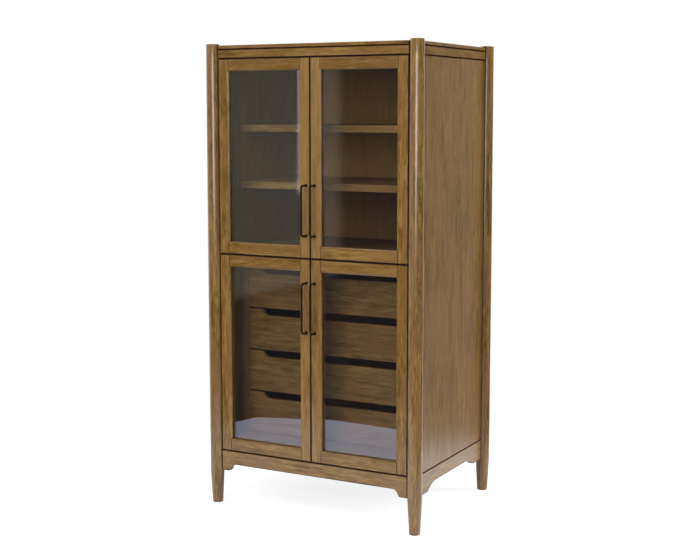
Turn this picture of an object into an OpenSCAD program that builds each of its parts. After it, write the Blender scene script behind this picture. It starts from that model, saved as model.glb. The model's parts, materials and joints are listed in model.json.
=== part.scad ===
// Tall display cabinet with round corner posts, four glass doors, two shelves and four inner drawers.
// Millimetres, +Z up. The origin lies on the floor under the middle of the cabinet, and the front faces -Y.

/* [Overall] */
// Height of the posts above the floor
cabinet_h = 1830; // [1700:5:2000]
// Distance between the centres of the left and right posts
post_span_x = 880; // [780:5:1000]
// Distance between the centres of the front and rear posts
post_span_y = 660; // [620:5:760]

/* [Posts] */
// Diameter of a post from the legs to half height
post_d = 56; // [52:0.5:60]
// Diameter of a post at its top
post_top_d = 52; // [46:0.5:56]
// Diameter of a leg where it meets the floor
foot_d = 41.5; // [36:0.5:50]
// Height over which a leg swells from its foot to the full post
leg_taper_h = 140; // [80:5:160]
// Height at which a post starts to slim towards its top
post_slim_z = 950; // [500:10:1500]
// Radius of the rounded edge at both ends of a post
post_edge_r = 3; // [1:0.5:5]
// How far the posts stand above the top board
post_rise = 6; // [2:1:20]

/* [Top] */
// Thickness of the top board
top_board_t = 14; // [10:1:24]
// Height of the rails under the top board
top_rail_h = 35; // [25:1:60]
// Depth of the lip behind the front top rail that the upper doors close against
lip_t = 20; // [14:1:30]
// How far that lip reaches below the rail
lip_drop = 18; // [10:1:24]

/* [Carcass] */
// Thickness of the top rails and aprons
rail_t = 24; // [18:1:30]
// How far the front and rear faces lie outside the post centres
front_set = 8; // [4:1:12]
// How far the side faces lie outside the post centres
side_set = 4; // [2:1:8]
// Thickness of the side panels
side_panel_t = 22; // [16:1:26]
// Thickness of the back panel
back_panel_t = 12; // [6:1:18]
// Height of the dark shadow grooves round the panels and top board
groove_h = 3; // [2:0.5:5]
// Depth of the shadow grooves
groove_depth = 4; // [2:0.5:6]
// Height of the straight underside of the aprons above the floor
apron_clear = 164; // [150:2:220]
// Height of the aprons
apron_h = 54; // [45:1:80]
// Thickness of the deck between the upper and lower compartments
deck_t = 34; // [24:1:40]
// Thickness of the bottom panel
bottom_t = 24; // [18:1:30]
// Height of the bottom panel's top face above the top of the aprons
floor_rise = 44; // [30:1:48]
// Gap between the back of a closed door and the boards behind it
door_back_gap = 2; // [1.5:0.5:4]

/* [Apron drops] */
// How far the shaped drops reach below the straight underside
drop_h = 28; // [15:1:40]
// Length of the flat end of a front or rear drop, from the post's flank
front_drop_flat = 31; // [8:1:60]
// Length of the curve of a front or rear drop
front_drop_run = 35; // [30:1:80]
// Length of the flat end of a side drop, from the post's flank
side_drop_flat = 78; // [8:1:110]
// Length of the curve of a side drop
side_drop_run = 84; // [30:1:110]
// Radius of the convex lower part of a drop's curve
drop_nose_r = 9; // [4:1:14]

/* [Doors] */
// Thickness of a door
door_t = 24; // [20:1:30]
// Clearance above, below, beside and between the doors
door_gap = 3; // [2:0.5:5]
// Height of the lower doors
lower_door_h = 790; // [750:5:820]
// Width of a door stile up to the glass opening
stile_w = 46; // [42:1:70]
// Height of a door rail up to the glass opening
rail_w = 48; // [40:1:80]
// Width of the bevel round the glass opening
bevel = 4; // [2:0.5:6]
// Depth of the glass behind the door's front face
glass_set = 14; // [10:0.5:15]
// Thickness of the glass
glass_t = 4; // [3:0.5:5]
// Width of the rebate that holds the glass
rebate_w = 8; // [6:0.5:10]
// Clearance round the edge of the glass
glass_clear = 1; // [0.5:0.25:2]

/* [Hinges] */
// Distance of the swing axis from a door's outer edge
axis_in = 8; // [7:0.5:9]
// Distance of the swing axis behind a door's front face
axis_back = 3; // [2:0.5:4]
// Distance of a hinge from the top or bottom edge of its door
hinge_end = 90; // [80:5:140]
// Diameter of a hinge cup
cup_d = 26; // [20:0.5:28]
// Depth of a hinge cup in the door
cup_depth = 11; // [9:0.5:12]
// Distance of the cup's centre from a door's outer edge
cup_in = 18; // [17:0.5:20]
// Height of a hinge arm
arm_h = 14; // [10:1:18]

/* [Pulls] */
// Distance between the two feet of a pull
pull_spacing = 192; // [96:32:256]
// Diameter of the pull's rod
pull_rod_d = 8; // [6:0.5:10]
// Distance of the rod's centre in front of the door
pull_reach = 36; // [28:1:45]
// Radius of the rod's bends, at its centre line
pull_bend_r = 12; // [8:1:20]
// Diameter of the round base under each foot
pull_base_d = 13; // [11:0.5:18]
// Distance of a pull from the door's meeting edge
pull_in = 17; // [13:0.5:21]
// Height of the lower foot of an upper pull above the door's bottom edge
upper_pull_z = 86; // [60:2:300]
// Height of the upper foot of a lower pull below the door's top edge
lower_pull_z = 92; // [60:2:300]
// Diameter of the screw holes through the stile
screw_hole_d = 4.5; // [4.2:0.1:5.5]

/* [Shelves] */
// Thickness of a shelf
shelf_t = 28; // [18:1:34]
// Distance of the shelf fronts behind the doors' front face
shelf_set = 173; // [60:1:220]
// Height of the lower shelf's underside above the deck
lower_shelf_z = 233; // [150:1:300]
// Height of the upper shelf's underside above the deck
upper_shelf_z = 460; // [380:1:520]
// Clearance between a shelf and the side and back panels
shelf_clear = 1; // [0.5:0.25:3]
// Diameter of a shelf pin
pin_d = 5; // [4:0.5:7]
// Depth of a shelf pin's hole
pin_depth = 10; // [8:1:12]
// Distance of a shelf pin from the front or back edge of its shelf
pin_end = 50; // [30:5:100]

/* [Drawers] */
// Distance of the drawer fronts behind the doors' front face
drawer_set = 168; // [140:1:200]
// Width of the filler between a side panel and the drawers
filler_w = 33; // [30:1:50]
// Clearance between a filler and a drawer front
drawer_side_gap = 3; // [2:0.5:4]
// Gap between one drawer front and the next
drawer_gap = 3.5; // [2:0.5:6]
// Gap under the bottom drawer front
drawer_foot_gap = 4; // [2:0.5:6]
// Height left free above the top drawer front
drawer_headroom = 49; // [20:1:80]
// Thickness of a drawer front
drawer_front_t = 18; // [15:1:22]
// Free space between a drawer box and the back panel
drawer_back_gap = 24; // [10:1:60]
// Thickness of a drawer box's sides and back
drawer_side_t = 12; // [10:0.5:16]
// Thickness of a drawer bottom
drawer_bottom_t = 6; // [4:0.5:8]
// Height of a drawer box's sides
drawer_side_h = 115; // [80:1:120]
// Height of the sides' lower edge above the bottom of the front
drawer_side_z = 14; // [8:1:20]
// Depth of the finger scoop in a drawer front's top edge
scoop_depth = 26; // [15:1:30]
// Distance from the end of a drawer front to the start of its scoop
scoop_end = 50; // [30:1:150]
// Length over which each end of a scoop comes down from the top edge
scoop_run = 44; // [20:1:90]

/* [Runners] */
// Height of a runner channel
channel_h = 45; // [30:1:50]
// Depth of a runner, from the lining board to the drawer's side
runner_w = 12.7; // [11:0.1:16]
// Thickness of the runner's sheet steel
runner_t = 1.2; // [1:0.1:2]
// Running clearance inside a runner
runner_clear = 0.4; // [0.3:0.05:0.8]

/* [Feet] */
// Diameter of a foot glide
glide_d = 26; // [16:1:30]
// Thickness of a foot glide
glide_t = 4; // [3:0.5:8]
// How far a glide stands out of its foot
glide_proud = 1; // [0.5:0.25:2]

/* [Hidden] */
LEVELS = ["upper", "lower"];
SIDES = ["left", "right"];
DRAWERS = [1, 2, 3, 4];
DOOR_PARTS = ["stiles", "rails", "glass", "beads", "pull", "hinge_cups"];
DRAWER_PARTS = ["front", "box", "runners"];

fine = 64;       // facets of the posts and large rounds
small = 32;      // facets of rods, pins and screws
cut = 1;         // how far a cutter runs past the face it cuts
wood = "#a07c4c";
dark_wood = "#6a4d31";
steel = "#8d9094";
black = "#1d1c1d";
felt = "#3a322c";
glass_tint = [0.75, 0.82, 0.84, 0.35];

post_r = post_d / 2;
half_x = post_span_x / 2;
half_y = post_span_y / 2;

// Outer faces of the front, back and sides
face_y = half_y + front_set;
face_x = half_x + side_set;
// Where a post's flank crosses the middle of the front and side faces
flank_x = half_x - sqrt(post_r * post_r - front_set * front_set);
flank_y = half_y - sqrt(post_r * post_r - side_set * side_set);

// Levels from the floor up
leg_z0 = glide_proud;
apron_top = apron_clear + apron_h;
floor_z = apron_top + floor_rise;
lower_door_z = apron_top + door_gap;
split_z = lower_door_z + lower_door_h + door_gap / 2;
upper_door_z = split_z + door_gap / 2;
board_top = cabinet_h - post_rise;
board_z = board_top - top_board_t;
rail_z = board_z - top_rail_h;
upper_door_h = rail_z - door_gap - upper_door_z;
deck_top = split_z + deck_t / 2;
deck_z = deck_top - deck_t;

// Inside of the carcass
wall_x = face_x - side_panel_t;
back_y = face_y - back_panel_t;
door_back = face_y - door_t;
boards_y = door_back - door_back_gap;

// A door is drawn as the left one: its outer edge, its meeting edge and its swing axis
door_out = half_x - post_r - door_gap * 2 / 3;
door_in = door_gap / 2;
door_w = door_out - door_in;
axis_x = door_out - axis_in;
axis_y = face_y - axis_back;
bead_t = door_t - glass_set - glass_t;

// Drawers
drawer_half_w = wall_x - filler_w - drawer_side_gap;
drawer_face_y = face_y - drawer_set;
drawer_box_l = back_y + drawer_face_y - drawer_front_t - drawer_back_gap;
drawer_h = (deck_z - floor_z - drawer_headroom - drawer_foot_gap - 3 * drawer_gap) / 4;
lining_x = wall_x - filler_w;
box_half_w = lining_x - runner_w;
groove_in = drawer_side_t / 2;
fit = 0.1;

// Hinges
plate_t = 2.5;
plate_l = 38;
plate_h = 50;
flange_t = 1;
arm_tip_gap = 1;
arm_tip_y = door_back - flange_t - arm_tip_gap;
cup_x = door_out - cup_in;
screw_head_d = 7;
screw_head_t = 1.6;

function door_z(level) = level == "upper" ? upper_door_z : lower_door_z;
function door_h(level) = level == "upper" ? upper_door_h : lower_door_h;
function pull_low(level) = level == "upper"
    ? upper_door_z + upper_pull_z
    : lower_door_z + lower_door_h - lower_pull_z - pull_spacing;
function hinge_levels(level) =
    [door_z(level) + hinge_end, door_z(level) + door_h(level) - hinge_end];
function drawer_z(n) = floor_z + drawer_foot_gap + (n - 1) * (drawer_h + drawer_gap);

// Points on an arc about a centre, from one angle to another
function arc(c, r, a0, a1, steps = 8) =
    [for (i = [0 : steps]) c + r * [cos(a0 + (a1 - a0) * i / steps), sin(a0 + (a1 - a0) * i / steps)]];

// General helpers

module slab(x0, x1, y0, y1, z0, z1) {
    translate([x0, y0, z0])
        cube([x1 - x0, y1 - y0, z1 - z0]);
}

module both_sides() {
    children();
    mirror([1, 0, 0])
        children();
}

module on_side(side) {
    if (side == "left")
        children();
    else
        mirror([1, 0, 0])
            children();
}

// Stands an XZ outline up as a plate from y0 to y1
module upright(y0, y1) {
    translate([0, y1, 0])
        rotate([90, 0, 0])
            linear_extrude(y1 - y0)
                children();
}

// Stands a YZ outline up as a plate from x0 to x1
module sideways(x0, x1) {
    translate([x0, 0, 0])
        rotate([90, 0, 90])
            linear_extrude(x1 - x0)
                children();
}

// The space that the four posts take out of the boards between them
module post_spaces(clear = fit) {
    for (sx = [-1, 1], sy = [-1, 1])
        translate([sx * half_x, sy * half_y, 0])
            cylinder(h = cabinet_h, r = post_r + clear, $fn = fine);
}

// Posts

// Radius of a post at height z: a swelling leg, a straight shaft and a slimmer top
function post_radius(z) =
    z < leg_taper_h
        ? post_r - (post_r - foot_d / 2) * pow(1 - z / leg_taper_h, 1.1)
        : z < post_slim_z
            ? post_r
            : post_r - (post_r - post_top_d / 2) * pow((z - post_slim_z) / (cabinet_h - post_slim_z), 1.3);

module post_outline() {
    low = leg_z0 + post_edge_r;
    high = cabinet_h - post_edge_r;
    leg = [for (i = [1 : 6]) low + (leg_taper_h - low) * i / 6];
    top = [for (i = [0 : 5]) post_slim_z + (high - post_slim_z) * i / 5];
    polygon(concat(
        [[0, leg_z0]],
        arc([post_radius(low) - post_edge_r, low], post_edge_r, -90, 0, 4),
        [for (z = leg) [post_radius(z), z]],
        [for (z = top) [post_radius(z), z]],
        arc([post_radius(high) - post_edge_r, high], post_edge_r, 0, 90, 4),
        [[0, cabinet_h]]
    ));
}

module post(sx, sy) {
    color(wood)
        translate([sx * half_x, sy * half_y, 0])
            difference() {
                rotate_extrude($fn = fine)
                    post_outline();
                translate([0, 0, -cut])
                    cylinder(h = cut + glide_t, d = glide_d + 2 * fit, $fn = small);
            }
}

module foot_glides() {
    color(felt)
        for (sx = [-1, 1], sy = [-1, 1])
            translate([sx * half_x, sy * half_y, 0])
                cylinder(h = glide_t, d = glide_d, $fn = small);
}

// Top board, rails and aprons

module top_board() {
    color(wood)
        difference() {
            slab(-face_x, face_x, -face_y, face_y, board_z, board_top);
            post_spaces();
        }
}

// A top rail seen from its end: its outer face is at 0 and a shadow groove runs under the top board
module top_rail_profile() {
    difference() {
        translate([0, rail_z])
            square([rail_t, top_rail_h]);
        translate([-cut, board_z - groove_h])
            square([cut + groove_depth, groove_h + cut]);
    }
}

// The lip behind the front rail, from the top board down behind the tops of the upper doors
module lip_profile() {
    polygon([
        [rail_t, rail_z],
        [door_t + door_back_gap, rail_z],
        [door_t + door_back_gap, rail_z - lip_drop],
        [rail_t + lip_t, rail_z - lip_drop],
        [rail_t + lip_t, board_z],
        [rail_t, board_z]
    ]);
}

module long_rail(with_lip) {
    color(wood)
        difference() {
            sideways(-half_x, half_x)
                translate([-face_y, 0]) {
                    top_rail_profile();
                    if (with_lip)
                        lip_profile();
                }
            post_spaces();
            both_sides()
                slab(-face_x, max(-wall_x, rail_t - face_x) + fit, -half_y, half_y, 0, board_z);
        }
}

module top_rail_front() {
    long_rail(true);
}

module top_rail_rear() {
    mirror([0, 1, 0])
        long_rail(false);
}

module top_rails_side() {
    color(wood)
        both_sides()
            difference() {
                translate([-face_x, half_y, 0])
                    rotate([90, 0, 0])
                        linear_extrude(post_span_y)
                            top_rail_profile();
                post_spaces();
            }
}

// Underside of an apron from the middle to one end: straight, then an S-curve into a flat drop.
// The S-curve is two arcs that meet on their common tangent.
function drop_points(flank, flat_l, run) =
    let (
        turn = 2 * atan(drop_h / run),
        both_r = run / sin(turn),
        hollow_r = both_r - drop_nose_r,
        flat_x = flank - flat_l
    )
    concat(
        arc([flat_x - run, apron_clear - hollow_r], hollow_r, 90, 90 - turn, 8),
        arc([flat_x, apron_clear - drop_h + drop_nose_r], drop_nose_r, 270 - turn, 270, 5)
    );

function flipped(points) = [for (i = [len(points) - 1 : -1 : 0]) [-points[i][0], points[i][1]]];

module apron_outline(flank, reach, flat_l, run) {
    drop = drop_points(flank, flat_l, run);
    low = apron_clear - drop_h;
    polygon(concat(
        [[-reach, apron_top], [-reach, low]],
        flipped(drop),
        drop,
        [[reach, low], [reach, apron_top]]
    ));
}

module apron_front() {
    color(wood)
        difference() {
            upright(-face_y, -face_y + rail_t)
                apron_outline(flank_x, half_x, front_drop_flat, front_drop_run);
            post_spaces();
        }
}

module apron_rear() {
    mirror([0, 1, 0])
        apron_front();
}

module aprons_side() {
    color(wood)
        both_sides()
            difference() {
                sideways(-face_x, -face_x + rail_t)
                    apron_outline(flank_y, half_y, side_drop_flat, side_drop_run);
                post_spaces();
            }
}

// Panels and boards

module side_panel() {
    difference() {
        slab(-face_x, -wall_x, -half_y, half_y, apron_top, rail_z);
        slab(-face_x - cut, -face_x + groove_depth, -half_y, half_y, apron_top - cut, apron_top + groove_h);
        slab(-face_x - cut, -face_x + groove_depth, -half_y, half_y, rail_z - groove_h, rail_z + cut);
        post_spaces();
        shelf_pin_holes();
    }
}

module side_panel_left() {
    color(wood)
        side_panel();
}

module side_panel_right() {
    color(wood)
        mirror([1, 0, 0])
            side_panel();
}

module back_panel() {
    color(dark_wood)
        difference() {
            slab(-half_x, half_x, back_y, face_y, apron_top, rail_z);
            post_spaces();
            both_sides()
                slab(-face_x - cut, -wall_x + fit, 0, face_y + cut, apron_top - cut, rail_z + cut);
        }
}

module middle_deck() {
    color(dark_wood)
        difference() {
            slab(-wall_x, wall_x, -boards_y, back_y, deck_z, deck_top);
            post_spaces();
        }
}

module bottom_panel() {
    color(dark_wood)
        difference() {
            slab(-wall_x, wall_x, -boards_y, back_y, floor_z - bottom_t, floor_z);
            post_spaces();
        }
}

// Shelves and their pins

module shelf(rise) {
    z0 = deck_top + rise;
    color(dark_wood)
        difference() {
            slab(-wall_x + shelf_clear, wall_x - shelf_clear,
                -face_y + shelf_set, back_y - shelf_clear, z0, z0 + shelf_t);
            post_spaces(shelf_clear);
        }
}

module shelf_upper() {
    shelf(upper_shelf_z);
}

module shelf_lower() {
    shelf(lower_shelf_z);
}

pin_head_d = pin_d + 4;
pin_reach = 9;

// Places of the pins that carry one end of both shelves
module at_shelf_pins() {
    for (rise = [lower_shelf_z, upper_shelf_z],
            y = [-face_y + shelf_set + pin_end, back_y - shelf_clear - pin_end])
        translate([-wall_x, y, deck_top + rise - pin_d / 2])
            rotate([0, 90, 0])
                children();
}

module shelf_pin_holes() {
    at_shelf_pins()
        translate([0, 0, -pin_depth])
            cylinder(h = pin_depth + cut, d = pin_d, $fn = small);
}

module shelf_pins() {
    color(steel)
        both_sides()
            at_shelf_pins() {
                translate([0, 0, -pin_depth + cut])
                    cylinder(h = pin_depth - cut + pin_reach, d = pin_d - 2 * fit, $fn = small);
            }
}

// Housing of the drawers: filler strips, lining boards and battens

module drawer_housing() {
    front = -drawer_face_y + 2;
    filler_t = drawer_front_t;
    lining_t = 18;
    batten_l = 40;
    batten_y = front + filler_t;
    batten_x = -lining_x - lining_t - fit;
    color(dark_wood)
        both_sides()
            difference() {
                union() {
                    slab(-wall_x, -lining_x, front, batten_y - fit, floor_z, deck_z);
                    slab(-lining_x - lining_t, -lining_x, batten_y, back_y, floor_z, deck_z);
                    slab(-wall_x, batten_x, batten_y, batten_y + batten_l, floor_z, deck_z);
                    slab(-wall_x, batten_x, back_y - batten_l, back_y, floor_z, deck_z);
                }
                post_spaces();
            }
}

// Runners

module channel_outline() {
    difference() {
        square([runner_w - runner_t - runner_clear, channel_h], center = false);
        translate([runner_t, runner_t])
            square([runner_w, channel_h - 2 * runner_t]);
    }
}

// The drawer's member: an inward channel that slides between the fixed channel's flanges
module member_outline() {
    h = channel_h - 2 * runner_t - 2 * runner_clear;
    depth = runner_w - runner_t - runner_clear;
    translate([runner_t + runner_clear, runner_t + runner_clear])
        difference() {
            square([depth, h]);
            translate([-cut, runner_t])
                square([depth - runner_t + cut, h - 2 * runner_t]);
        }
}

runner_y0 = -drawer_face_y + drawer_front_t + 3;
runner_l = drawer_box_l - 10;
function runner_z(n) = drawer_z(n) + drawer_side_z + (drawer_side_h - channel_h) / 2;

module along_runner(n) {
    translate([-lining_x, runner_y0 + runner_l, runner_z(n)])
        rotate([90, 0, 0])
            linear_extrude(runner_l)
                children();
}

module runner_channels() {
    color(steel)
        both_sides()
            for (n = DRAWERS)
                along_runner(n)
                    channel_outline();
}

module drawer_runners(n) {
    color(steel)
        both_sides()
            along_runner(n)
                member_outline();
}

// Drawers

// Front with a long scoop: at each end two arcs turn the top edge down into the finger edge
module drawer_front_outline(n) {
    z0 = drawer_z(n);
    top = z0 + drawer_h;
    turn = 2 * atan(scoop_depth / scoop_run);
    r = scoop_run / 2 / sin(turn);
    start = drawer_half_w - scoop_end;
    right = concat(
        arc([start - scoop_run, top - scoop_depth + r], r, 270, 270 + turn, 6),
        arc([start, top - r], r, 90 + turn, 90, 6)
    );
    polygon(concat(
        [[-drawer_half_w, z0], [drawer_half_w, z0], [drawer_half_w, top]],
        [for (i = [len(right) - 1 : -1 : 0]) right[i]],
        flipped([for (i = [len(right) - 1 : -1 : 0]) right[i]]),
        [[-drawer_half_w, top]]
    ));
}

module drawer_front(n) {
    color(dark_wood)
        upright(-drawer_face_y, -drawer_face_y + drawer_front_t)
            drawer_front_outline(n);
}

module drawer_box(n) {
    z0 = drawer_z(n) + drawer_side_z;
    z1 = z0 + drawer_side_h;
    y0 = -drawer_face_y + drawer_front_t;
    y1 = y0 + drawer_box_l;
    bottom_z = z0 + 8;
    inner_w = box_half_w - drawer_side_t;
    color(dark_wood) {
        both_sides()
            difference() {
                slab(-box_half_w, -inner_w, y0, y1, z0, z1);
                slab(-inner_w - groove_in, -inner_w + cut, y0 - cut, y1 + cut,
                    bottom_z - fit, bottom_z + drawer_bottom_t + fit);
            }
        slab(-inner_w + fit, inner_w - fit, y1 - drawer_side_t, y1,
            bottom_z + drawer_bottom_t + fit, z1);
        slab(-inner_w - groove_in + fit, inner_w + groove_in - fit, y0, y1,
            bottom_z, bottom_z + drawer_bottom_t);
    }
}

// Doors, drawn as the left one

// The glass opening of a door: left, right, bottom and top
function sight(level) = [
    -door_out + stile_w,
    -door_in - stile_w,
    door_z(level) + rail_w,
    door_z(level) + door_h(level) - rail_w
];

// A bar of square section turned on edge, which cuts a bevel along Z from a corner at the origin.
// It leaves a hair of flat wood beside the joint between stile and rail.
module bevel_bar(length) {
    side = (bevel - fit) * sqrt(2);
    translate([0, 0, -cut])
        rotate([0, 0, 45])
            translate([-side / 2, -side / 2, 0])
                cube([side, side, length + 2 * cut]);
}

// What the glass opening takes out of stiles and rails: the rebate for the glass and the bevel in front
module glass_seat(level) {
    o = sight(level);
    slab(o[0] - rebate_w, o[1] + rebate_w, -face_y + glass_set, -door_back + cut,
        o[2] - rebate_w, o[3] + rebate_w);
}

module stile_bevels(level) {
    o = sight(level);
    z0 = door_z(level);
    for (x = [o[0], o[1]])
        translate([x, -face_y, z0])
            bevel_bar(door_h(level));
}

module rail_bevels(level) {
    o = sight(level);
    for (z = [o[2], o[3]])
        translate([-door_out, -face_y, z])
            rotate([0, 90, 0])
                bevel_bar(door_w);
}

// Half of a frame corner: a stile keeps the bevelled strip between the two mitres
module stile_outline(x_out, x_flat, x_sight, level) {
    o = sight(level);
    z0 = door_z(level);
    z1 = z0 + door_h(level);
    polygon([
        [x_out, z0],
        [x_flat, z0],
        [x_flat, o[2] - bevel],
        [x_sight, o[2]],
        [x_sight, o[3]],
        [x_flat, o[3] + bevel],
        [x_flat, z1],
        [x_out, z1]
    ]);
}

module rail_outline(z_out, z_flat, z_sight, level) {
    o = sight(level);
    polygon([
        [o[0] - bevel, z_out],
        [o[1] + bevel, z_out],
        [o[1] + bevel, z_flat],
        [o[1], z_sight],
        [o[0], z_sight],
        [o[0] - bevel, z_flat]
    ]);
}

module door_stiles(level) {
    o = sight(level);
    color(wood)
        difference() {
            upright(-face_y, -door_back) {
                stile_outline(-door_out, o[0] - bevel, o[0], level);
                stile_outline(-door_in, o[1] + bevel, o[1], level);
            }
            glass_seat(level);
            stile_bevels(level);
            cup_bores(level);
            pull_screw_holes(level);
        }
}

module door_rails(level) {
    o = sight(level);
    z0 = door_z(level);
    z1 = z0 + door_h(level);
    color(wood)
        difference() {
            upright(-face_y, -door_back) {
                rail_outline(z0, o[2] - bevel, o[2], level);
                rail_outline(z1, o[3] + bevel, o[3], level);
            }
            glass_seat(level);
            rail_bevels(level);
        }
}

module door_glass(level) {
    o = sight(level);
    grow = rebate_w - glass_clear;
    color(glass_tint)
        slab(o[0] - grow, o[1] + grow, -face_y + glass_set, -face_y + glass_set + glass_t,
            o[2] - grow, o[3] + grow);
}

// Four mitred beads that hold the glass from behind
module door_beads(level) {
    o = sight(level);
    w = rebate_w - fit;
    out = [o[0] - w, o[1] + w, o[2] - w, o[3] + w];
    color(wood)
        upright(-door_back - bead_t, -door_back) {
            polygon([[out[0], out[2]], [o[0], o[2]], [o[0], o[3]], [out[0], out[3]]]);
            polygon([[out[1], out[2]], [out[1], out[3]], [o[1], o[3]], [o[1], o[2]]]);
            polygon([[out[0] + fit, out[2]], [out[1] - fit, out[2]], [o[1] - fit, o[2]], [o[0] + fit, o[2]]]);
            polygon([[out[0] + fit, out[3]], [o[0] + fit, o[3]], [o[1] - fit, o[3]], [out[1] - fit, out[3]]]);
        }
}

// Pulls

pull_x = door_in + pull_in;
pull_screw_d = 4;

module at_pull_feet(level) {
    for (z = [pull_low(level), pull_low(level) + pull_spacing])
        translate([-pull_x, -face_y, z])
            rotate([90, 0, 0])
                children();
}

module pull_screw_holes(level) {
    at_pull_feet(level)
        translate([0, 0, -door_t - cut])
            cylinder(h = door_t + 2 * cut, d = screw_hole_d, $fn = small);
}

module pull_elbow() {
    rotate_extrude(angle = 90, $fn = fine)
        translate([pull_bend_r, 0])
            circle(d = pull_rod_d, $fn = small);
}

// A rod bent twice, on two round bases, and the two screws that hold it from inside the door
module door_pull(level) {
    base_t = 3;
    screw_grip = 9;
    low = pull_low(level);
    high = low + pull_spacing;
    rod_y = -face_y - pull_reach;
    color(black) {
        difference() {
            union() {
                at_pull_feet(level) {
                    cylinder(h = base_t, d = pull_base_d, $fn = small);
                    cylinder(h = pull_reach - pull_bend_r, d = pull_rod_d, $fn = small);
                }
                translate([-pull_x, rod_y, low + pull_bend_r])
                    cylinder(h = pull_spacing - 2 * pull_bend_r, d = pull_rod_d, $fn = small);
                translate([-pull_x, rod_y + pull_bend_r, high - pull_bend_r])
                    rotate([0, -90, 0])
                        rotate([0, 0, -90])
                            pull_elbow();
                translate([-pull_x, rod_y + pull_bend_r, low + pull_bend_r])
                    rotate([0, -90, 0])
                        rotate([0, 0, 180])
                            pull_elbow();
            }
            at_pull_feet(level)
                translate([0, 0, -cut])
                    cylinder(h = cut + screw_grip, d = pull_screw_d, $fn = small);
        }
        at_pull_feet(level)
            translate([0, 0, -door_t - screw_head_t]) {
                cylinder(h = screw_head_t, d = screw_head_d, $fn = small);
                cylinder(h = screw_head_t + door_t + screw_grip - cut, d = pull_screw_d - 2 * fit, $fn = small);
            }
    }
}

// Concealed hinges

module at_hinges(level) {
    for (z = hinge_levels(level))
        translate([0, 0, z])
            children();
}

module cup_bores(level) {
    at_hinges(level)
        translate([-cup_x, -door_back - cup_depth - fit, 0])
            rotate([-90, 0, 0])
                cylinder(h = cup_depth + fit + cut, d = cup_d + 2 * fit, $fn = fine);
}

// A steel cup let into the door, with a winged flange on the door's back and a screw in each wing
module hinge_cups(level) {
    wall = 1;
    wing_w = 11;
    wing_l = 44;
    screw_c = 17.5;
    color(steel)
        at_hinges(level)
            translate([-cup_x, -door_back, 0])
                rotate([-90, 0, 0]) {
                    difference() {
                        union() {
                            translate([0, 0, -cup_depth])
                                cylinder(h = cup_depth, d = cup_d, $fn = fine);
                            cylinder(h = flange_t, d = cup_d + 2, $fn = fine);
                            translate([-wing_w / 2, -wing_l / 2, 0])
                                cube([wing_w, wing_l, flange_t]);
                        }
                        translate([0, 0, -cup_depth + wall])
                            cylinder(h = cup_depth + flange_t, d = cup_d - 2 * wall, $fn = fine);
                    }
                    cup_cross_pin();
                }
}

// The pin across the cup on which the hinge's links turn
module cup_cross_pin() {
    pin = 3;
    translate([0, -cup_d / 2 + 0.8, -cup_depth / 2])
        rotate([-90, 0, 0])
            cylinder(h = cup_d - 1.6, d = pin, $fn = small);
}

// Wall plate with two screws and a cranked arm that reaches to the cup's mouth
module hinge_mounts() {
    plate_y = -boards_y + 14;
    slide_t = 5;
    arm_t = 5;
    tip_w = 12;
    tip_x = -cup_x - tip_w + 2;
    arm_in = -wall_x + plate_t + slide_t;
    screw_r = 17;
    color(steel)
        both_sides()
            for (level = LEVELS)
                at_hinges(level) {
                    slab(-wall_x, -wall_x + plate_t, plate_y, plate_y + plate_l, -plate_h / 2, plate_h / 2);
                    for (z = [-screw_r, screw_r])
                        translate([-wall_x + plate_t, plate_y + plate_l / 2, z])
                            rotate([0, 90, 0])
                                cylinder(h = screw_head_t, d = screw_head_d, $fn = small);
                    translate([0, 0, -arm_h / 2])
                        linear_extrude(arm_h)
                            polygon([
                                [-wall_x + plate_t, plate_y + plate_l - 2],
                                [-wall_x + plate_t, plate_y + 2],
                                [tip_x - 3, -arm_tip_y],
                                [tip_x + tip_w - 2, -arm_tip_y],
                                [tip_x + tip_w, -arm_tip_y + 2],
                                [tip_x + tip_w, -arm_tip_y + 6],
                                [arm_in + 2, plate_y + 10],
                                [arm_in, plate_y + 14],
                                [arm_in, plate_y + plate_l - 2]
                            ]);
                }
}

// Small bumpers on the boards behind the doors, at the top and bottom of each meeting stile
module door_stops() {
    stop_d = 9;
    stop_gap = 0.4;
    stop_x = pull_x + 12;
    levels = [
        floor_z - bottom_t / 2,
        split_z - deck_t / 4,
        split_z + deck_t / 4,
        rail_z - door_gap - lip_drop / 2
    ];
    color(felt)
        both_sides()
            for (z = levels)
                translate([-stop_x, -boards_y, z])
                    rotate([90, 0, 0])
                        cylinder(h = door_back_gap - stop_gap, d = stop_d, $fn = small);
}

// What stands at one place of the cabinet is chosen by its name

post(-1, -1);  // post_front_left
post(1, -1);  // post_front_right
post(-1, 1);  // post_rear_left
post(1, 1);  // post_rear_right
top_board();
top_rail_front();
top_rail_rear();
top_rails_side();
apron_front();
apron_rear();
aprons_side();
side_panel_left();
side_panel_right();
back_panel();
middle_deck();
bottom_panel();
shelf_upper();
shelf_lower();
shelf_pins();
drawer_housing();
runner_channels();
hinge_mounts();
door_stops();
foot_glides();
for (l = LEVELS, s = SIDES) {
    door = str(l, "_", s, "_door_");
    on_side(s) door_stiles(l);
    on_side(s) door_rails(l);
    on_side(s) door_glass(l);
    on_side(s) door_beads(l);
    on_side(s) door_pull(l);
    on_side(s) hinge_cups(l);
}
for (n = DRAWERS) {
    drawer_front(n);
    drawer_box(n);
    drawer_runners(n);
}
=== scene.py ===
"""Looks of the tall display cabinet: eased wooden boards, turned posts, clear panes, dark bent pulls and
steel fittings. Lengths are metres in the CAD's own frame."""
import json
import zlib
from math import pi, radians, tau

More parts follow.
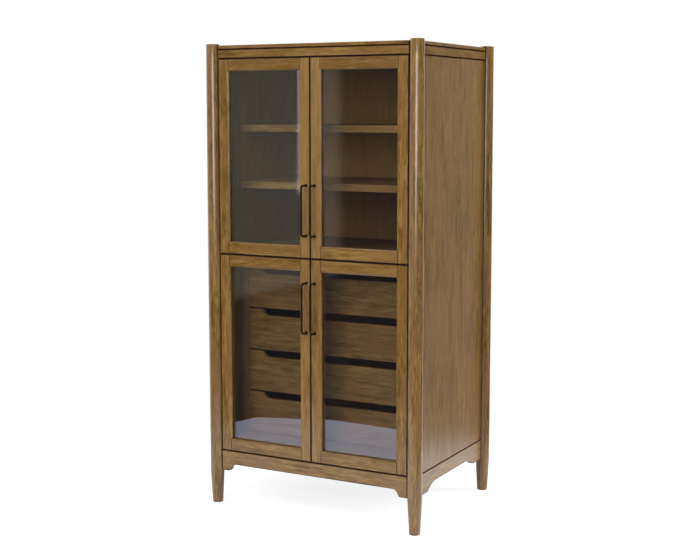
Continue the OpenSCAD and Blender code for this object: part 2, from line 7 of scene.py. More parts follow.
import bmesh
import bpy
import numpy as np
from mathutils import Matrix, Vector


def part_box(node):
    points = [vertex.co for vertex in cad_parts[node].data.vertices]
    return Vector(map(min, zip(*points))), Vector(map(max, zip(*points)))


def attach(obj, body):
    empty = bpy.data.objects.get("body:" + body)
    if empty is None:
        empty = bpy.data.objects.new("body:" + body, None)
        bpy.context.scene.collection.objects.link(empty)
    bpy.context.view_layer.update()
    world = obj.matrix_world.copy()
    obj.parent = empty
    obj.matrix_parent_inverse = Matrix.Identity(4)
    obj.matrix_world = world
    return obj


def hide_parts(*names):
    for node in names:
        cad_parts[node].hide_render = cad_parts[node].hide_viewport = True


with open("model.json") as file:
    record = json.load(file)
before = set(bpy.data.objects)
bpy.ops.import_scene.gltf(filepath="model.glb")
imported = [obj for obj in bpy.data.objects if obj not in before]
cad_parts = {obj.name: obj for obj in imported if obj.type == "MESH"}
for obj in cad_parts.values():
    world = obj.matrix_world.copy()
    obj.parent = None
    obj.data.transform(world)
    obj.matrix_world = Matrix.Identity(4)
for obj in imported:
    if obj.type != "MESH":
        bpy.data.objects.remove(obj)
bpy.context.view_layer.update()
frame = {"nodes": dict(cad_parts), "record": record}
NODES = frame["nodes"]
BODY_OF = {node: body for body, nodes in frame["record"]["behaviour"]["bodies"].items() for node in nodes}
SLOT_OF = {part["node"]: part["material_slot"] for part in frame["record"]["subparts"]}
LEVELS, SIDES, DRAWERS = ("upper", "lower"), ("left", "right"), (1, 2, 3, 4)


# Sizes taken from the CAD's nodes

def side_of(node, end, axis):
    """Where a node's box starts (end 0) or stops (end 1) along an axis, to a hundredth of a millimetre."""
    return round(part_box(node)[end]["xyz".index(axis)], 5)


def middle_of(node, axis):
    """The middle of a node's box along an axis."""
    return round((side_of(node, 0, axis) + side_of(node, 1, axis)) / 2, 5)


POST_X, POST_Y = middle_of("post_rear_right", "x"), middle_of("post_rear_right", "y")
POST_LOW, POST_HIGH = side_of("post_rear_right", 0, "z"), side_of("post_rear_right", 1, "z")
SIDE_X, FACE_Y = side_of("top_board", 1, "x"), side_of("top_board", 1, "y")
PANEL_X, BACK_Y = middle_of("side_panel_right", "x"), middle_of("back_panel", "y")
SHELF_Z = middle_of("shelf_lower", "z")
DROP_LOW, APRON_HIGH = side_of("apron_front", 0, "z"), side_of("apron_front", 1, "z")

DOOR_IN, DOOR_OUT = side_of("upper_right_door_stiles", 0, "x"), side_of("upper_right_door_stiles", 1, "x")
DOOR_LOW, DOOR_HIGH = side_of("lower_right_door_stiles", 0, "z"), side_of("upper_right_door_stiles", 1, "z")
DOOR_BACK = side_of("upper_right_door_stiles", 1, "y")
SPLIT_Z = (side_of("lower_right_door_stiles", 1, "z") + side_of("upper_right_door_stiles", 0, "z")) / 2
JOINT_IN, JOINT_OUT = side_of("upper_right_door_rails", 0, "x"), side_of("upper_right_door_rails", 1, "x")
GLASS_Y = side_of("upper_right_door_glass", 0, "y")
PULL_X = middle_of("upper_right_door_pull", "x")

DRAWER_Y = middle_of("drawer_1_front", "y")
DRAWER_PITCH = side_of("drawer_2_front", 0, "z") - side_of("drawer_1_front", 0, "z")
DRAWER_GAP = side_of("drawer_2_front", 0, "z") - side_of("drawer_1_front", 1, "z")

# How far a pane reaches into its rebate, and with it the edges of the part that is seen
PANE_HIDDEN = 0.007
SIGHT_IN = side_of("upper_right_door_glass", 0, "x") + PANE_HIDDEN
SIGHT_OUT = side_of("upper_right_door_glass", 1, "x") - PANE_HIDDEN
SIGHT_LOW = side_of("lower_right_door_glass", 0, "z") + PANE_HIDDEN
SIGHT_HIGH = side_of("upper_right_door_glass", 1, "z") - PANE_HIDDEN
# From the split between the doors to the panes above and below it
SPLIT_REACH = side_of("upper_right_door_glass", 0, "z") + PANE_HIDDEN - SPLIT_Z

POST_R, POST_TOP_R, FOOT_R = 0.028, 0.026, 0.02075
LEG_H, SLIM_Z = 0.140, 0.950
GROOVE_H = 0.003
APRON_LOW = DROP_LOW + 0.028
# Flat end of an apron's drop, from the post's flank, and the length of its curve
FRONT_FLAT, FRONT_RUN, SIDE_FLAT, SIDE_RUN = 0.031, 0.035, 0.078, 0.084
PULL_SPACING = 0.192

# Share of the studio's light on dull surfaces, and the floor's own glow
AMBIENT, PAPER_LIFT = 0.60, 0.79


# Shader writing

class Signal:
    """One output of a shader node. Sums of signals and numbers add the Math nodes that work them out."""

    def __init__(self, finish, socket):
        self.finish, self.socket = finish, socket

    def _work(self, operation, *values):
        return self.finish.node("ShaderNodeMath", {"operation": operation}, dict(enumerate(values)))

    def __add__(self, other):
        return self._work("ADD", self, other)

    def __sub__(self, other):
        return self._work("SUBTRACT", self, other)

    def __rsub__(self, other):
        return self._work("SUBTRACT", other, self)

    def __mul__(self, other):
        return self._work("MULTIPLY", self, other)

    def __truediv__(self, other):
        return self._work("DIVIDE", self, other)

    def __rtruediv__(self, other):
        return self._work("DIVIDE", other, self)

    def __pow__(self, other):
        return self._work("POWER", self, other)

    def __neg__(self):
        return self._work("MULTIPLY", self, -1.0)

    def __abs__(self):
        return self._work("ABSOLUTE", self)

    __radd__ = __add__
    __rmul__ = __mul__


class Finish:
    """A material, or the world, that is being written as a tree of shader nodes."""

    def __init__(self, owner):
        self.owner = owner
        owner.use_nodes = True
        self.tree = owner.node_tree
        self.tree.nodes.clear()

    def node(self, kind, settings=None, values=None, out=0):
        """Adds one node. Its settings come first, with a ramp's stops as (place, colour) pairs, then its
        sockets get a number, a colour or a signal each. The output named or numbered by out comes back as a
        signal."""
        node = self.tree.nodes.new(kind)
        for name, setting in (settings or {}).items():
            if name == "stops":
                marks = node.color_ramp.elements
                while len(marks) < len(setting):
                    marks.new(0.5)
                for mark, (place, colour) in zip(marks, setting):
                    mark.position, mark.color = place, (*colour, 1)
            else:
                setattr(node, name, setting)
        for name, value in (values or {}).items():
            if isinstance(value, Signal):
                self.tree.links.new(value.socket, node.inputs[name])
            else:
                node.inputs[name].default_value = value
        return Signal(self, node.outputs[out])

    def smooth(self, value, low, high, to_low=0.0, to_high=1.0):
        """A soft step from to_low to to_high, while value goes from low to high."""
        return self.node("ShaderNodeMapRange", {"interpolation_type": "SMOOTHSTEP"},
                         {0: value, 1: low, 2: high, 3: to_low, 4: to_high})

    def above(self, value, limit, soft):
        """1 over limit and 0 under it, with a soft step that reaches as far as soft on both sides."""
        return self.smooth(value, limit - soft, limit + soft)

    def below(self, value, limit, soft):
        """1 under limit and 0 over it, with the same soft step."""
        return self.smooth(value, limit + soft, limit - soft)

    def near(self, value, place, reach, soft):
        """1 where value is less than reach away from place."""
        return self.below(abs(value - place), reach, soft)

    def mix(self, share, first, second):
        """Colour first, with share of colour second laid over it."""
        return self.node("ShaderNodeMix", {"data_type": "RGBA"},
                         {0: share, 6: colour(first), 7: colour(second)}, out=2)

    def waves(self, at, size, detail=2.0, rough=0.5, twist=0.0):
        """Soft noise from 0 to 1 in waves of the given size in metres, one length for each direction."""
        place = self.node("ShaderNodeVectorMath", {"operation": "DIVIDE"}, {0: at, 1: size})
        return self.node("ShaderNodeTexNoise", {}, {"Vector": place, "Scale": 1.0, "Detail": detail,
                                                    "Roughness": rough, "Distortion": twist}, out="Fac")

    def surface(self, shader):
        """Ends the tree with its output."""
        is_world = isinstance(self.owner, bpy.types.World)
        end = self.tree.nodes.new("ShaderNodeOutputWorld" if is_world else "ShaderNodeOutputMaterial")
        self.tree.links.new(shader.socket, end.inputs["Surface"])
        return self.owner


def colour(value):
    """A colour with its alpha, or a signal as it is."""
    return value if isinstance(value, Signal) or len(value) == 4 else (*value, 1)


def finish_named(name):
    return Finish(bpy.data.materials.new(name))


def principled(f, **values):
    """The Principled shader, its sockets named with _ for a space."""
    return f.node("ShaderNodeBsdfPrincipled", {}, {k.replace("_", " "): v for k, v in values.items()})


def where(f):
    """Object coordinates as three signals."""
    place = f.node("ShaderNodeTexCoord", out="Object")
    return [f.node("ShaderNodeSeparateXYZ", {}, {0: place}, out=axis) for axis in "XYZ"]


def most(f, *masks):
    """The highest of some signals."""
    top = masks[0]
    for mask in masks[1:]:
        top = f.node("ShaderNodeMath", {"operation": "MAXIMUM"}, {0: top, 1: mask})
    return top


def seen_directly(f):
    """1 for what the camera, a mirror or clear glass sees, 0 for light on its way to a dull surface."""
    camera, mirrored, through = [f.node("ShaderNodeLightPath", out=kind)
                                 for kind in ("Is Camera Ray", "Is Glossy Ray", "Is Transmission Ray")]
    return most(f, camera, mirrored, through)


# Wood

def wood(name, dark, middle, light, warm, rough=0.30, coat=0.5, clouds=1.2, grain=1.0, stained_and_shaded=None,
         painted_light_and_tone=None):
    """Satin lacquered wood. The attribute grain holds each board's own metres, along the grain and across it
    twice. Streaks, broad bands, growth rings and fibres sum to a tone that picks the colour, patches lean to
    a warmer tone, and pores, small dark flecks, rubbed edges that also carry a painted highlight, and dark
    colour that is real staining in the joints and painted shade in grooves, gaps and corners lie on top. A
    coat of clear lacquer adds its own gloss. The value clouds is the strength of soft mottling, and grain
    that of streaks and fibres, as a number or a function of the place. Two more functions of the place say
    where the dark colour lies, and where boards are painted lighter, or darker where the answer is
    negative, as painted light and shade or as a board's own tone.
    stain lies and which boards are paler, or darker where the answer is negative."""
    f = finish_named(name)
    at = f.node("ShaderNodeAttribute", {"attribute_name": "grain"}, out="Vector")
    board = f.node("ShaderNodeAttribute", {"attribute_name": "board"}, out="Fac")
    edge = f.node("ShaderNodeAttribute", {"attribute_name": "edge"}, out="Fac")

    def along(length, width, detail=2.0, **more):
        """Noise in waves of a length along the grain and a width across it."""
        return f.waves(at, (length, width, width), detail=detail, **more)

    streaks = along(0.17, 0.0115, 2.5, rough=0.60, twist=0.3)
    bands = along(0.50, 0.060)
    mottle = along(0.085, 0.018, 3.0, rough=0.6)
    fibres = along(0.042, 0.0040, 3.0, rough=0.65)
    patches = along(0.20, 0.050, 3.0, twist=0.3)

    # Growth rings lie round a wavering heart line under the board
    heart_depth, heart_bend, ring_width = 0.075, 0.10, 0.0105
    heart_line = (along(0.42, 0.11, 1.0) - 0.5) * heart_bend
    across = f.node("ShaderNodeSeparateXYZ", {}, {0: at}, out="Y") + heart_line
    depth = f.node("ShaderNodeSeparateXYZ", {}, {0: at}, out="Z") + heart_depth
    from_heart = (across ** 2.0 + depth ** 2.0) ** 0.5
    ring_turn = from_heart * (tau / ring_width) + streaks * 5.0
    rings = f.node("ShaderNodeMath", {"operation": "SINE"}, {0: ring_turn})

    pores = f.smooth(along(0.0075, 0.00055, 1.0), 0.62, 0.72)
    fleck_place = f.node("ShaderNodeVectorMath", {"operation": "DIVIDE"}, {0: at, 1: (0.050, 0.021, 0.021)})
    fleck_from, fleck_pick = [
        f.node("ShaderNodeTexVoronoi", {}, {"Vector": fleck_place, "Scale": 1.0}, out=kind)
        for kind in ("Distance", "Color")]
    flecks = f.smooth(fleck_from, 0.13, 0.04) * f.smooth(fleck_pick, 0.60, 0.68)

    strength = grain(f) if callable(grain) else grain
    tone = (0.5 + (streaks - 0.5) * strength + (bands - 0.5) * 0.60 + (mottle - 0.5) * clouds
            + (fibres - 0.5) * 1.40 * strength + rings * 0.03 + (board - 0.5) * 0.14)
    base = f.node("ShaderNodeValToRGB", {"stops": [(0.12, dark), (0.50, middle), (0.90, light)]}, {0: tone})
    base = f.mix(f.smooth(patches, 0.36, 0.66) * 0.70, base, warm)
    # Painted light and shade, or a board's own tone, that lightens or darkens some boards.
    if painted_light_and_tone:
        lift = painted_light_and_tone(f)
        base = f.mix(-lift, f.mix(lift, base, light), dark)
    base = f.mix(pores * 0.35, base, dark)
    base = f.mix(flecks * 0.45, base, tuple(0.45 * c for c in dark))
    # Rubbed edges, made lighter as wear together with a painted highlight.
    worn_and_highlit = edge * f.smooth(along(0.06, 0.02), 0.40, 0.60)
    base = f.mix(worn_and_highlit * 0.30, base, light)
    height = fibres * 0.5 + rings * 0.05 - pores * 0.6 - flecks * 0.5
    relief = f.node("ShaderNodeBump", {}, {"Strength": 0.30, "Distance": 0.0002, "Height": height})
    gloss = rough + (mottle - 0.5) * 0.10 + pores * 0.15 - worn_and_highlit * 0.03
    # Dark colour, real staining in the joints and painted shade in grooves, gaps and corners, which also
    # dulls the coat.
    if stained_and_shaded:
        stain_and_shade = stained_and_shaded(f)
        base = f.mix(stain_and_shade * 0.95, base, STAIN_AND_SHADE)
        gloss = gloss + stain_and_shade * 0.55
        coat = (1.0 - stain_and_shade) * coat if coat else 0.0
    return f.surface(principled(f, Base_Color=base, Roughness=gloss, Normal=relief, Specular_IOR_Level=0.40,
                                Coat_Weight=coat, Coat_Roughness=0.20))


def from_posts(x, y):
    """Distance from the middle of the nearest post."""
    return ((abs(x) - POST_X) ** 2.0 + (abs(y) - POST_Y) ** 2.0) ** 0.5


def shade_beside_posts(f, x, y):
    """1 within a few millimetres of a post: painted shade in the corner where a board meets it."""
    return f.below(from_posts(x, y), POST_R + 0.0036, 0.0014)


def painted_shade_on_shell(f):
    """Painted shade: dark colour in the shadow grooves above and below the panels, on the lips beside them,
    and in the corners against the posts.
    """
    x, y, z = where(f)
    inset = f.node("ShaderNodeMath", {"operation": "MINIMUM"}, {0: SIDE_X - abs(x), 1: FACE_Y - abs(y)})
    inside = f.above(inset, 0.0015, 0.0007)
    levels = (side_of("top_board", 0, "z") - GROOVE_H / 2, side_of("top_rails_side", 0, "z") - GROOVE_H / 2,
              APRON_HIGH + GROOVE_H / 2)
    grooves = most(f, *[f.near(z, level, 0.0040, 0.0008) for level in levels])
    lips = most(f, *[f.near(z, level, 0.0032, 0.0006) for level in levels])
    return most(f, grooves * inside, lips, shade_beside_posts(f, x, y))


def painted_shade_on_panels(f):
    """On the side panels, the painted shade of the other boards and a soft painted shadow beside each post.
    """
    x, y, _ = where(f)
    return most(f, painted_shade_on_shell(f), f.below(from_posts(x, y), 2 * POST_R, 0.018) * 0.55)


def panel_grain(f):
    """The grain of a side panel is strong on its outer face and faint on its inner one."""
    x, _, _ = where(f)
    return 0.4 + f.above(abs(x), PANEL_X, 0.005)


def painted_shade_on_aprons(f):
    """On the aprons, the painted shade of the other boards and a dark line along the lower edge, which runs
    straight and drops in a double curve beside each post."""
    x, y, z = where(f)
    front_drop, side_drop = POST_X - POST_R - FRONT_FLAT, POST_Y - POST_R - SIDE_FLAT
    along_front = f.smooth(abs(x), front_drop - FRONT_RUN, front_drop, APRON_LOW, DROP_LOW)
    along_side = f.smooth(abs(y), side_drop - SIDE_RUN, side_drop, APRON_LOW, DROP_LOW)
    is_side = f.below(abs(y), FACE_Y - 0.030, 0.002)
    lower_edge = along_front * (1 - is_side) + along_side * is_side
    return most(f, painted_shade_on_shell(f), f.below(z - lower_edge, 0.0035, 0.0009) * 0.75)


def stain_and_shade_on_doors(f):
    """Dark staining in the butt joints of a door frame, and painted shade on its outer edges by the gaps,
    along the edge of the glass and in the corners by the posts.
    """
    x, y, z = where(f)
    across = abs(x)
    joints = most(f, f.near(across, JOINT_OUT, 0.0015, 0.0006), f.near(across, JOINT_IN, 0.0015, 0.0006))
    in_rails = most(f, f.near(z, SPLIT_Z, SPLIT_REACH + 0.0010, 0.0010),
                    f.below(z, SIGHT_LOW + 0.0005, 0.0010), f.above(z, SIGHT_HIGH - 0.0005, 0.0010))
    # Painted shade on the edges by the gaps round each door and in the rebate by the glass.
    edges = most(f, f.above(across, DOOR_OUT - 0.0024, 0.0008), f.below(across, DOOR_IN + 0.0025, 0.0008),
                 f.near(z, SPLIT_Z, 0.0043, 0.0007), f.above(z, DOOR_HIGH - 0.0028, 0.0008),
                 f.below(z, DOOR_LOW + 0.0028, 0.0008))
    by_glass = f.smooth(y, 0.0055 - FACE_Y, 0.0110 - FACE_Y) * f.smooth(y, GLASS_Y + 0.0025, GLASS_Y + 0.0010)
    return most(f, joints * in_rails * 0.8, edges, by_glass * 0.8, shade_beside_posts(f, x, y))


def door_sheen_and_shade(f):
    """Painted sheen and shade: the stiles where two doors meet are painted lighter, most of all in the upper
    doors, and so are the two rails that meet on the right. The upper doors' top rails are painted a little
    darker."""
    x, _, z = where(f)
    crisp = 0.0004
    meeting = f.below(abs(x), SIGHT_IN, crisp)
    top_rail = f.above(z, SIGHT_HIGH, crisp) * f.below(abs(x), SIGHT_OUT, crisp) * (1 - meeting)
    between_stiles = f.above(x, SIGHT_IN, crisp) * f.below(x, SIGHT_OUT, crisp)
    middle_rail = f.near(z, SPLIT_Z, SPLIT_REACH - crisp, crisp) * between_stiles
    upper_more = f.smooth(z, SPLIT_Z - 0.0005, SPLIT_Z + 0.0005, 0.20, 0.50)
    return meeting * upper_more + middle_rail * 0.24 - top_rail * 0.30


def painted_shade_low_sides(f):
    """Painted shade: inside, a side panel is darker in the bay over the deck."""
    x, _, z = where(f)
    return f.below(abs(x), PANEL_X, 0.005) * f.below(z, SHELF_Z, 0.005) * -0.60


def back_bay_light_and_tone(f):
    """Inside, the back is darker in the bay over the deck and lighter above it, as painted shade and painted
    light. Outside it is darker again.
    """
    _, y, z = where(f)
    outside = f.above(y, BACK_Y, 0.001)
    return f.smooth(z, SHELF_Z - 0.005, SHELF_Z + 0.005, -0.56, 0.32) * (1 - outside) - outside * 0.62


def painted_shade_on_drawers(f):
    """Painted shade on both sides of the gaps between the drawer fronts, which repeat at their pitch."""
    _, y, z = where(f)
    first_gap = side_of("drawer_1_front", 0, "z") - DRAWER_GAP / 2
    off_gap = f.node("ShaderNodeMath", {"operation": "PINGPONG"}, {0: z - first_gap, 1: DRAWER_PITCH / 2})
    return f.below(off_gap, 0.0034, 0.0006) * f.below(y, DRAWER_Y, 0.001)


def painted_shade_on_posts(f):
    """Painted shade on a post in the corners where the boards meet it, and a painted contact shadow round the
    foot.
    """
    x, y, z = where(f)
    by_front = f.below(abs(y), FACE_Y + 0.0015, 0.0009) * f.below(abs(x), POST_X - 0.025, 0.002)
    by_side = f.below(abs(x), SIDE_X + 0.0015, 0.0009) * f.below(abs(y), POST_Y - 0.024, 0.002)
    over_legs = f.above(z, DROP_LOW + 0.001, 0.003)
    return most(f, most(f, by_front * 0.45, by_side) * over_legs, f.below(z, 0.0050, 0.0015) * 0.6)


# Glass, metal and plastic

def clear_glass(name):
    """Clear pane. It mirrors 8 percent at each face when seen straight on and all of it edge on, rising with
    the fifth power of the tilt, and the rest goes straight through."""
    f = finish_named(name)
    tilt = f.node("ShaderNodeLayerWeight", {}, {"Blend": 0.5}, out="Facing")
    mirror = 0.080 + tilt ** 5.0 * 0.920
    place = f.node("ShaderNodeTexCoord", out="Object")
    haze = f.waves(place, (0.12, 0.12, 0.30), detail=3.0)
    through = f.node("ShaderNodeBsdfTransparent", {}, {"Color": (0.985, 0.992, 0.988, 1)})
    face = principled(f, Base_Color=(0.74, 0.79, 1.0, 1), Metallic=1.0,
                      Roughness=f.smooth(haze, 0.3, 0.7, 0.005, 0.03))
    return f.surface(f.node("ShaderNodeMixShader", {}, {0: mirror, 1: through, 2: face}))


def dark_metal(name):
    """Oil rubbed dark metal, browner and smoother where hands have polished it."""
    f = finish_named(name)
    place = f.node("ShaderNodeTexCoord", out="Object")
    cloud = f.waves(place, (0.014, 0.014, 0.030), detail=3.0)
    speck = f.waves(place, (0.0011, 0.0011, 0.0011), detail=2.0)
    rubbed = f.smooth(cloud, 0.45, 0.70)
    base = f.mix(rubbed, (0.012, 0.010, 0.009), (0.042, 0.027, 0.018))
    relief = f.node("ShaderNodeBump", {}, {"Strength": 0.25, "Distance": 0.0002, "Height": speck})
    return f.surface(principled(f, Base_Color=base, Metallic=0.75, Normal=relief,
                                Roughness=0.44 - rubbed * 0.12 + (speck - 0.5) * 0.1))


def steel(name):
    """Zinc plated steel, clouded, with fine rolling lines along its length."""
    f = finish_named(name)
    place = f.node("ShaderNodeTexCoord", out="Object")
    cloud = f.waves(place, (0.02, 0.02, 0.02), detail=3.0)
    lines = f.waves(place, (0.0006, 0.05, 0.0006), detail=1.0)
    base = f.mix(cloud, (0.42, 0.44, 0.46), (0.66, 0.66, 0.64))
    relief = f.node("ShaderNodeBump", {}, {"Strength": 0.2, "Distance": 0.0001, "Height": lines})
    return f.surface(principled(f, Base_Color=base, Metallic=1.0, Normal=relief,
                                Roughness=0.30 + cloud * 0.16 + (lines - 0.5) * 0.08))


def dull(name, low, high, rough):
    """Rubber or moulded plastic: two close tones in small clouds over a fine leathery skin."""
    f = finish_named(name)
    place = f.node("ShaderNodeTexCoord", out="Object")
    cloud = f.waves(place, (0.006, 0.006, 0.006), detail=3.0)
    skin = f.node("ShaderNodeTexVoronoi", {}, {"Vector": place, "Scale": 1400.0}, out="Distance")
    relief = f.node("ShaderNodeBump", {}, {"Strength": 0.3, "Distance": 0.0001, "Height": skin})
    return f.surface(principled(f, Base_Color=f.mix(cloud, low, high), Normal=relief,
                                Roughness=rough + (cloud - 0.5) * 0.12))


# Colours and the table of finishes

# Dark reddish brown, for real staining in the door joints and for painted shade in grooves, gaps and corners.
STAIN_AND_SHADE = (0.016, 0.0030, 0.0008)
OUTER_WOOD = dict(dark=(0.095, 0.047, 0.008), middle=(0.188, 0.101, 0.020), light=(0.300, 0.180, 0.050),
                  warm=(0.222, 0.114, 0.042))
DOOR_WOOD = dict(dark=(0.094, 0.046, 0.006), middle=(0.187, 0.099, 0.015), light=(0.300, 0.178, 0.060),
                 warm=(0.220, 0.112, 0.035))
INNER_WOOD = dict(dark=(0.105, 0.054, 0.014), middle=(0.195, 0.108, 0.031), light=(0.300, 0.185, 0.066),
                  warm=(0.215, 0.106, 0.036))
# A lighter copy of the inside wood: painted light for the back panel.
LIT_BACK_WOOD = dict(dark=(0.135, 0.064, 0.014), middle=(0.255, 0.132, 0.031), light=(0.380, 0.220, 0.066),
                 warm=(0.275, 0.130, 0.038))
# A darker copy of the inside wood: painted shade for the drawer fronts.
SHADED_DRAWER_WOOD = dict(dark=(0.086, 0.044, 0.011), middle=(0.160, 0.088, 0.024), light=(0.250, 0.152, 0.052),
                   warm=(0.180, 0.089, 0.030))
# A darker copy of the inside wood: painted shade for the housing and the deck.
SHADED_HOUSING_WOOD = dict(dark=(0.076, 0.039, 0.010), middle=(0.140, 0.078, 0.022), light=(0.215, 0.133, 0.047),
                    warm=(0.155, 0.077, 0.026))
# A lighter copy of the inside wood: painted light for the shelves.
LIT_SHELF_WOOD = dict(dark=(0.125, 0.068, 0.020), middle=(0.235, 0.140, 0.046), light=(0.350, 0.225, 0.092),
                  warm=(0.265, 0.140, 0.052))
MATERIALS = {
    "shell": wood("carcass_wood", rough=0.36, coat=0.25, stained_and_shaded=painted_shade_on_shell, **OUTER_WOOD),
    "apron": wood("apron_wood", rough=0.34, coat=0.65, grain=1.4, stained_and_shaded=painted_shade_on_aprons, **OUTER_WOOD),
    "panel": wood("side_panel_wood", rough=0.36, coat=0.55, clouds=0.75, grain=panel_grain,
                  stained_and_shaded=painted_shade_on_panels, painted_light_and_tone=painted_shade_low_sides, **OUTER_WOOD),
    "rear_post": wood("rear_post_wood", rough=0.34, coat=0.45, grain=1.4, stained_and_shaded=painted_shade_on_posts,
                      **OUTER_WOOD),
    "post": wood("turned_post_wood", rough=0.28, coat=0.9, grain=1.5, stained_and_shaded=painted_shade_on_posts, **OUTER_WOOD),
    "door": wood("door_frame_wood", grain=1.6, stained_and_shaded=stain_and_shade_on_doors, painted_light_and_tone=door_sheen_and_shade, **DOOR_WOOD),
    "bead": wood("glazing_bead_wood", **DOOR_WOOD),
    "shelf": wood("shelf_wood", rough=0.38, coat=0.0, **LIT_SHELF_WOOD),
    "drawer": wood("drawer_front_wood", rough=0.38, coat=0.0, stained_and_shaded=painted_shade_on_drawers, **SHADED_DRAWER_WOOD),
    "housing": wood("housing_wood", rough=0.46, coat=0.0, clouds=0.8, **SHADED_HOUSING_WOOD),
    "back": wood("back_panel_wood", rough=0.46, coat=0.0, clouds=0.8, grain=0.5, painted_light_and_tone=back_bay_light_and_tone,
                 **LIT_BACK_WOOD),
    "inner_wood": wood("inside_wood", rough=0.46, coat=0.0, **INNER_WOOD),
    "glass": clear_glass("clear_pane"),
    "black_metal": dark_metal("dark_bronze_pull"),
    "steel": steel("zinc_plated_steel"),
    "bumper": dull("bumper_rubber", (0.030, 0.027, 0.025), (0.055, 0.050, 0.046), 0.70),
    "glide": dull("glide_plastic", (0.022, 0.020, 0.018), (0.045, 0.040, 0.036), 0.55),
}


# Boards

def add_object(name, mesh, material, body, slot, *nodes):
    """Puts a finished mesh on its body, in place of the CAD nodes that it stands for."""
    mesh.materials.clear()
    mesh.materials.append(MATERIALS[material])
    piece = bpy.data.objects.new(name, mesh)
    bpy.context.scene.collection.objects.link(piece)
    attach(piece, body)
    if nodes:
        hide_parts(*nodes)
    return piece


def read_points(mesh):
    """The mesh's vertices as an array with a row for each."""
    flat = np.empty(len(mesh.vertices) * 3, np.float32)
    mesh.vertices.foreach_get("co", flat)
    return flat.reshape(-1, 3).astype(float)


def board_numbers(mesh):
    """The number of each vertex's board: the lowest number spreads along the edges until none changes."""
    pairs = np.empty(len(mesh.edges) * 2, np.int32)
    mesh.edges.foreach_get("vertices", pairs)
    one, two = pairs.reshape(-1, 2).T
    label = np.arange(len(mesh.vertices))
    while True:
        low = np.minimum(label[one], label[two])
        spread = label.copy()
        np.minimum.at(spread, one, low)
        np.minimum.at(spread, two, low)
        spread = spread[spread]
        if (spread == label).all():
            return np.unique(label, return_inverse=True)[1]
        label = spread


def lay_grain(mesh, seed):
    """Writes grain and board on the vertices. A board's grain runs along its longest side: grain is the
    distance along that side and the two distances across it, all from the board's middle and each shifted by
    a chance length. The value board is a chance tone for each board."""
    points, numbers = read_points(mesh), board_numbers(mesh)
    grain, tone = np.zeros_like(points), np.zeros(len(points))
    chance = np.random.default_rng(zlib.crc32(seed.encode()))
    for number in range(numbers.max() + 1):
        mine = numbers == number
        low, high = points[mine].min(0), points[mine].max(0)
        longest_first = np.argsort(low - high)
        shift = np.array([chance.uniform(1, 40), *chance.uniform(-0.02, 0.02, 2)])
        grain[mine] = (points[mine] - (low + high) / 2)[:, longest_first] + shift
        tone[mine] = chance.uniform(0, 1)
    grain, tone = grain.astype(np.float32), tone.astype(np.float32)
    mesh.attributes.new("grain", "FLOAT_VECTOR", "POINT").data.foreach_set("vector", grain.ravel())
    mesh.attributes.new("board", "FLOAT", "POINT").data.foreach_set("value", tone)


def finish_board(form, name, round_by, material, body, slot, *nodes):
    """Rounds a board's outer edges in two steps, lays its grain and puts it on its body."""
    # Marks the rounded faces, whose lighter colour is wear together with a painted highlight.
    worn_and_highlit = form.faces.layers.float.new("edge")
    outer = [e for e in form.edges if e.is_manifold and e.calc_face_angle_signed(0) > radians(28)]
    made = bmesh.ops.bevel(form, geom=outer, offset=round_by, segments=2, profile=0.5, affect="EDGES",
                           clamp_overlap=False)
    for face in made["faces"]:
        face[worn_and_highlit] = 1.0
    bmesh.ops.recalc_face_normals(form, faces=form.faces)
    mesh = bpy.data.meshes.new(name + "_eased")
    form.to_mesh(mesh)
    form.free()
    lay_grain(mesh, name)
    mesh.shade_smooth()
    mesh.set_sharp_from_angle(angle=radians(38))
    piece = add_object(name + "_eased", mesh, material, body, slot, *nodes)
    piece.modifiers.new("flat_faces", "WEIGHTED_NORMAL").keep_sharp = True


def eased(node, round_by, material):
    """A CAD node with its outer edges rounded by round_by metres."""
    form = bmesh.new()
    form.from_mesh(NODES[node].data)
    bmesh.ops.remove_doubles(form, verts=form.verts, dist=1e-6)
    bmesh.ops.dissolve_limit(form, angle_limit=radians(0.5), verts=form.verts, edges=form.edges)
    finish_board(form, node, round_by, material, BODY_OF[node], SLOT_OF[node], node)


def front_batten():
    """A straight batten under the front edge of the bottom panel. It closes the gap over the front apron, and
    is seen only when the lower doors are open. Each of its eight corners takes the low or the high end along
    each axis, with z changing first and x last."""
    reach, thick, tall = POST_X - POST_R - 0.001, 0.018, 0.042
    front, top = side_of("bottom_panel", 0, "y"), side_of("bottom_panel", 0, "z")
    low, high = np.array([-reach, front, top - tall]), np.array([reach, front + thick, top])
    corners = low + (high - low) * np.indices((2, 2, 2)).reshape(3, 8).T
    faces = [(0, 1, 3, 2), (4, 6, 7, 5), (0, 4, 5, 1), (2, 3, 7, 6), (0, 2, 6, 4), (1, 5, 7, 3)]
    mesh = bpy.data.meshes.new("front_batten")
    mesh.from_pydata(corners.tolist(), [], faces)
    form = bmesh.new()
    form.from_mesh(mesh)
    finish_board(form, "front_batten", 0.0012, "inner_wood", "cabinet", "inner_wood")


# Turned and bent pieces

